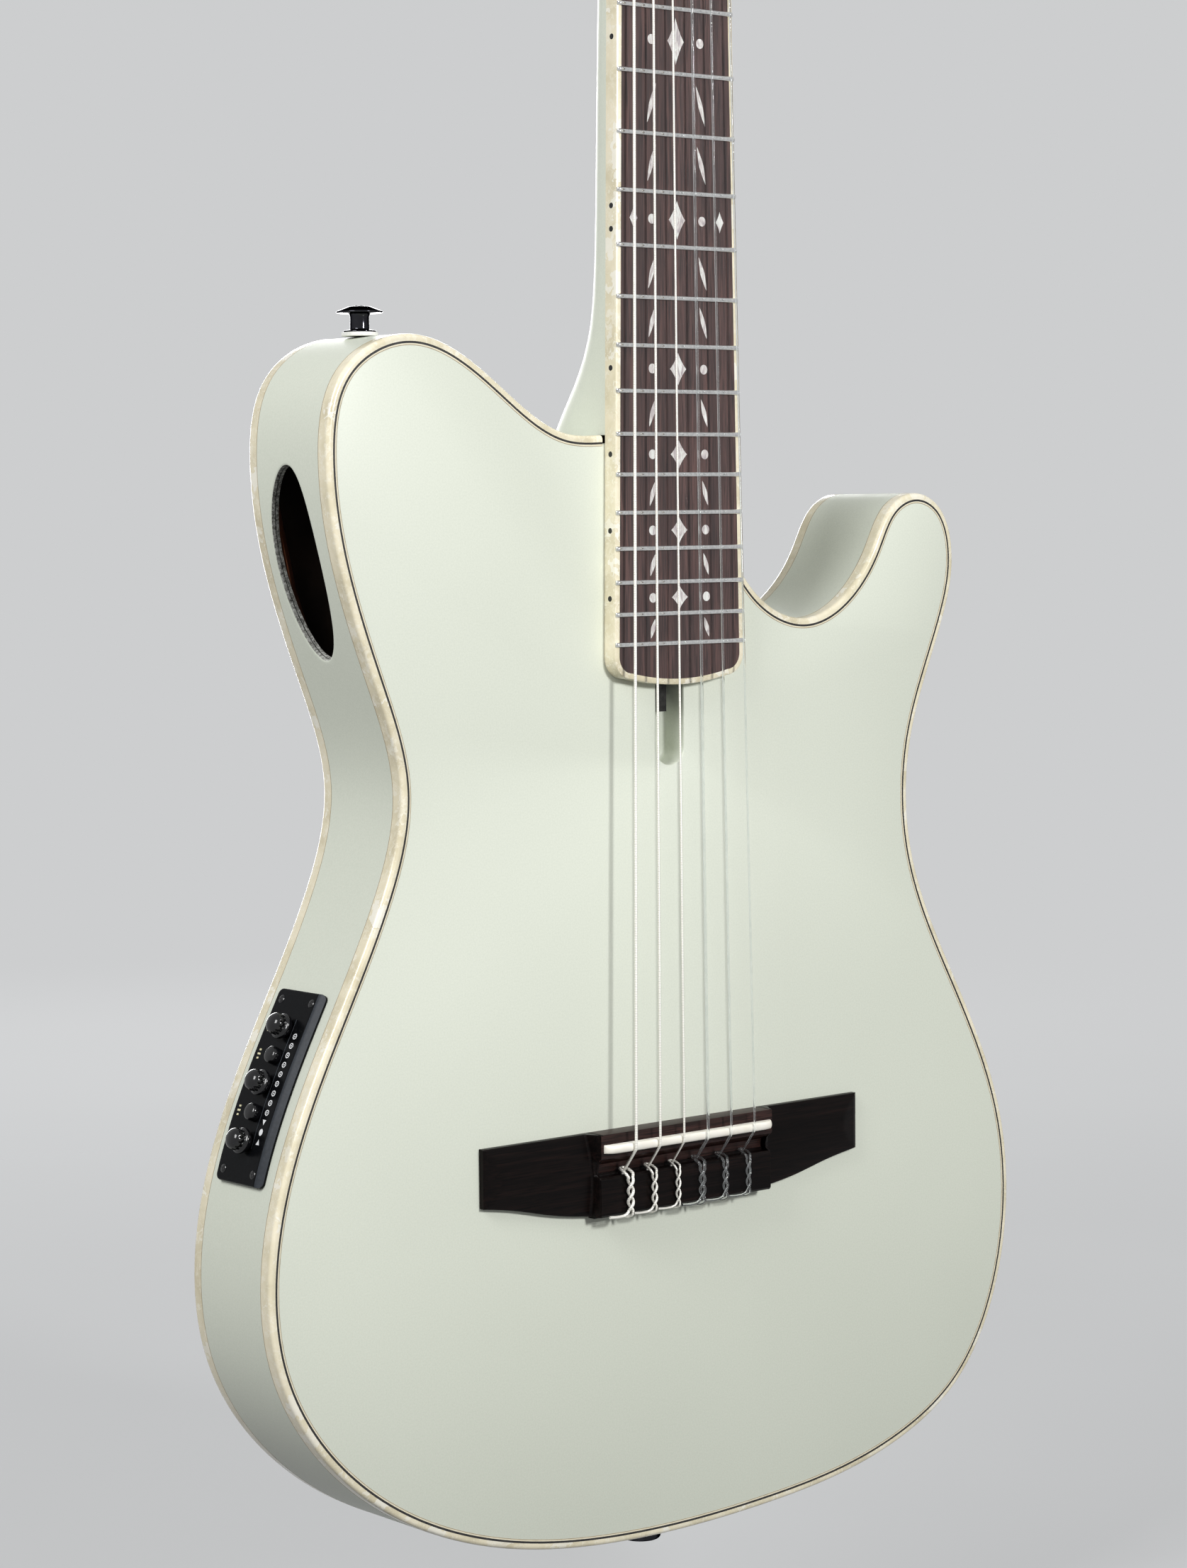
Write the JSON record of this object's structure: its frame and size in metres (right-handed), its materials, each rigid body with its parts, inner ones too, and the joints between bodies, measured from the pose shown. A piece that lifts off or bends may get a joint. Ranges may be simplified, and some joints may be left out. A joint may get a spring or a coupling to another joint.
{
  "type": "nylon-string guitar",
  "caption": "Thin-bodied nylon-string guitar with one cutaway, a slotted head with worm-driven tuners, a side sound port and a side preamp.",
  "frame": {"origin": "on the neck's centreline in the plane of the soundboard, where the fretboard meets the nut", "axes": "+Z along the neck towards the head, +X to the treble side, -Y out of the soundboard"},
  "size_m": [0.3555, 0.0809, 0.9742],
  "materials": {
    "paint_sage_white": "glossy off-white paint over wood",
    "bare_spruce": "bare spruce",
    "mahogany": "bare mahogany",
    "pearloid": "cream pearloid",
    "rosewood": "oiled rosewood",
    "bridge_wood": "near-black bridge wood",
    "bone": "polished bone",
    "nickel": "nickel-plated steel",
    "brass": "turned brass",
    "chrome": "bright chrome",
    "steel": "plain steel",
    "black_plastic": "glossy black plastic",
    "battery_case": "dark battery case",
    "white_washer": "white washer",
    "piezo_strip": "dark grey strip",
    "wound_string": "silver-plated winding",
    "nylon_string": "clear nylon"
  },
  "bodies": {
    "guitar": {"soundboard": "paint_sage_white", "back_plate": "paint_sage_white", "side_bass": "paint_sage_white", "side_treble": "paint_sage_white", "top_lining": "mahogany", "back_lining": "mahogany", "top_binding": "pearloid", "back_binding": "pearloid", "neck_block": "mahogany", "tail_block": "mahogany", "fan_bracing": "bare_spruce", "upper_cross_brace": "bare_spruce", "back_brace": "bare_spruce", "neck": "paint_sage_white", "truss_rod": "steel", "fretboard": "rosewood", "fretboard_binding": "pearloid", "nut": "bone", "bridge": "bridge_wood", "saddle": "bone", "pickup_strip": "piezo_strip", "preamp_box": "black_plastic", "preamp_panel": "black_plastic", "strap_washer": "white_washer", "strap_button": "chrome", "end_pin_jack": "chrome", "battery": "battery_case", "battery_clip": "black_plastic", "tuner_plate_bass": "nickel", "tuner_plate_treble": "nickel", "string_6_e": "wound_string", "string_5_a": "wound_string", "string_4_d": "wound_string", "string_3_g": "nylon_string", "string_2_b": "nylon_string", "string_1_e": "nylon_string"},
    "truss_nut": {"truss_rod_nut": "brass"},
    "knob_upper": {"knob_upper": "black_plastic"},
    "button_upper": {"button_upper": "black_plastic"},
    "knob_middle": {"knob_middle": "black_plastic"},
    "button_lower": {"button_lower": "black_plastic"},
    "knob_lower": {"knob_lower": "black_plastic"},
    "worm_bass_1": {"worm_bass_1": "nickel", "tuner_button_bass_1": "pearloid"},
    "roller_bass_1": {"roller_bass_1": "bone"},
    "worm_bass_2": {"worm_bass_2": "nickel", "tuner_button_bass_2": "pearloid"},
    "roller_bass_2": {"roller_bass_2": "bone"},
    "worm_bass_3": {"worm_bass_3": "nickel", "tuner_button_bass_3": "pearloid"},
    "roller_bass_3": {"roller_bass_3": "bone"},
    "worm_treble_1": {"worm_treble_1": "nickel", "tuner_button_treble_1": "pearloid"},
    "roller_treble_1": {"roller_treble_1": "bone"},
    "worm_treble_2": {"worm_treble_2": "nickel", "tuner_button_treble_2": "pearloid"},
    "roller_treble_2": {"roller_treble_2": "bone"},
    "worm_treble_3": {"worm_treble_3": "nickel", "tuner_button_treble_3": "pearloid"},
    "roller_treble_3": {"roller_treble_3": "bone"}
  },
  "joints": [
    {"name": "truss_nut_turn", "type": "hinge", "parent": "guitar", "child": "truss_nut", "pos_m": [0, 0.0069, -0.475], "axis": [0, 0, 1], "range_deg": [-180, 180]},
    {"name": "knob_upper_turn", "type": "hinge", "parent": "guitar", "child": "knob_upper", "pos_m": [-0.15224, 0.0226, -0.58361], "axis": [-0.884, 0, 0.4675], "range_deg": [-145, 145]},
    {"name": "button_upper_press", "type": "slide", "parent": "guitar", "child": "button_upper", "axis": [0.8915, 0, -0.4531], "range_m": [0, 0.0015], "stiffness_N_per_m": 400, "springref_m": -0.001},
    {"name": "knob_middle_turn", "type": "hinge", "parent": "guitar", "child": "knob_middle", "pos_m": [-0.16138, 0.0226, -0.60162], "axis": [-0.9033, 0, 0.4289], "range_deg": [-145, 145]},
    {"name": "button_lower_press", "type": "slide", "parent": "guitar", "child": "button_lower", "axis": [0.9185, 0, -0.3954], "range_m": [0, 0.0015], "stiffness_N_per_m": 400, "springref_m": -0.001},
    {"name": "knob_lower_turn", "type": "hinge", "parent": "guitar", "child": "knob_lower", "pos_m": [-0.16938, 0.0226, -0.62017], "axis": [-0.9355, 0, 0.3533], "range_deg": [-145, 145]},
    {"name": "worm_bass_1_turn", "type": "hinge", "parent": "guitar", "child": "worm_bass_1", "pos_m": [-0.0396, 0.02112, 0.05868], "axis": [0, 0.9781, -0.2079], "continuous": true},
    {"name": "roller_bass_1_turn", "type": "hinge", "parent": "guitar", "child": "roller_bass_1", "pos_m": [0, 0.01969, 0.05193], "axis": [1, 0, 0], "continuous": true},
    {"name": "worm_bass_2_turn", "type": "hinge", "parent": "guitar", "child": "worm_bass_2", "pos_m": [-0.0396, 0.0284, 0.09292], "axis": [0, 0.9781, -0.2079], "continuous": true},
    {"name": "roller_bass_2_turn", "type": "hinge", "parent": "guitar", "child": "roller_bass_2", "pos_m": [0, 0.02696, 0.08617], "axis": [1, 0, 0], "continuous": true},
    {"name": "worm_bass_3_turn", "type": "hinge", "parent": "guitar", "child": "worm_bass_3", "pos_m": [-0.0396, 0.03568, 0.12715], "axis": [0, 0.9781, -0.2079], "continuous": true},
    {"name": "roller_bass_3_turn", "type": "hinge", "parent": "guitar", "child": "roller_bass_3", "pos_m": [0, 0.03424, 0.1204], "axis": [1, 0, 0], "continuous": true},
    {"name": "worm_treble_1_turn", "type": "hinge", "parent": "guitar", "child": "worm_treble_1", "pos_m": [0.0396, 0.02112, 0.05868], "axis": [0, 0.9781, -0.2079], "continuous": true},
    {"name": "roller_treble_1_turn", "type": "hinge", "parent": "guitar", "child": "roller_treble_1", "pos_m": [0, 0.01969, 0.05193], "axis": [1, 0, 0], "continuous": true},
    {"name": "worm_treble_2_turn", "type": "hinge", "parent": "guitar", "child": "worm_treble_2", "pos_m": [0.0396, 0.0284, 0.09292], "axis": [0, 0.9781, -0.2079], "continuous": true},
    {"name": "roller_treble_2_turn", "type": "hinge", "parent": "guitar", "child": "roller_treble_2", "pos_m": [0, 0.02696, 0.08617], "axis": [1, 0, 0], "continuous": true},
    {"name": "worm_treble_3_turn", "type": "hinge", "parent": "guitar", "child": "worm_treble_3", "pos_m": [0.0396, 0.03568, 0.12715], "axis": [0, 0.9781, -0.2079], "continuous": true},
    {"name": "roller_treble_3_turn", "type": "hinge", "parent": "guitar", "child": "roller_treble_3", "pos_m": [0, 0.03424, 0.1204], "axis": [1, 0, 0], "continuous": true}
  ],
  "couplings": [
    {"joint": "roller_bass_1_turn", "follows": "worm_bass_1_turn", "ratio": 0.071429},
    {"joint": "roller_bass_2_turn", "follows": "worm_bass_2_turn", "ratio": 0.071429},
    {"joint": "roller_bass_3_turn", "follows": "worm_bass_3_turn", "ratio": 0.071429},
    {"joint": "roller_treble_1_turn", "follows": "worm_treble_1_turn", "ratio": 0.071429},
    {"joint": "roller_treble_2_turn", "follows": "worm_treble_2_turn", "ratio": 0.071429},
    {"joint": "roller_treble_3_turn", "follows": "worm_treble_3_turn", "ratio": 0.071429}
  ]
}
